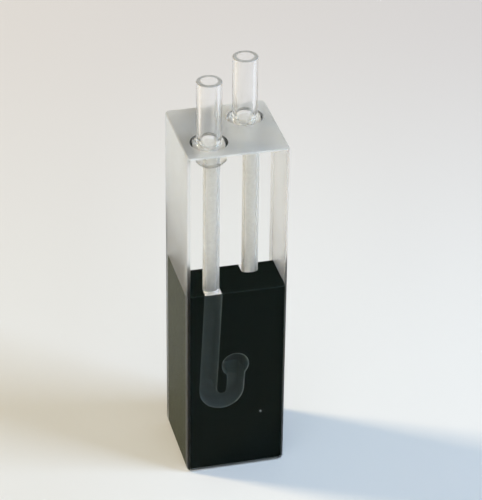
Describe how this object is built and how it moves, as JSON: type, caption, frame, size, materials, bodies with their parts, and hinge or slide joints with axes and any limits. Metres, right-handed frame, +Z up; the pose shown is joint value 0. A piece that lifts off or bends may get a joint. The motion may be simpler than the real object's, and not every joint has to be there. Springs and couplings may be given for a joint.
{
  "type": "flow-through cuvette",
  "caption": "Square flow-through cuvette with a clear head on a black block, polished windows front and back, a hooked channel to a cross bore, and glass hose tubes on top.",
  "frame": {"origin": "middle of the base, on the surface the cell stands on", "axes": "+Z up along the cell, Y along the light path with the window over the hooked inlet channel facing -Y, X across the windows"},
  "size_m": [0.0126, 0.0126, 0.054],
  "materials": {
    "clear_quartz": "polished front and back, ground sides, ends and bevels",
    "black_quartz": "opaque black, ground sides, base and channels",
    "tube_quartz": "fire-polished tube with a ground cut end"
  },
  "bodies": {
    "root": {"front_window": "clear_quartz", "rear_window": "clear_quartz", "clear_head": "clear_quartz", "black_body": "black_quartz", "inlet_tube": "tube_quartz", "outlet_tube": "tube_quartz"}
  },
  "joints": []
}
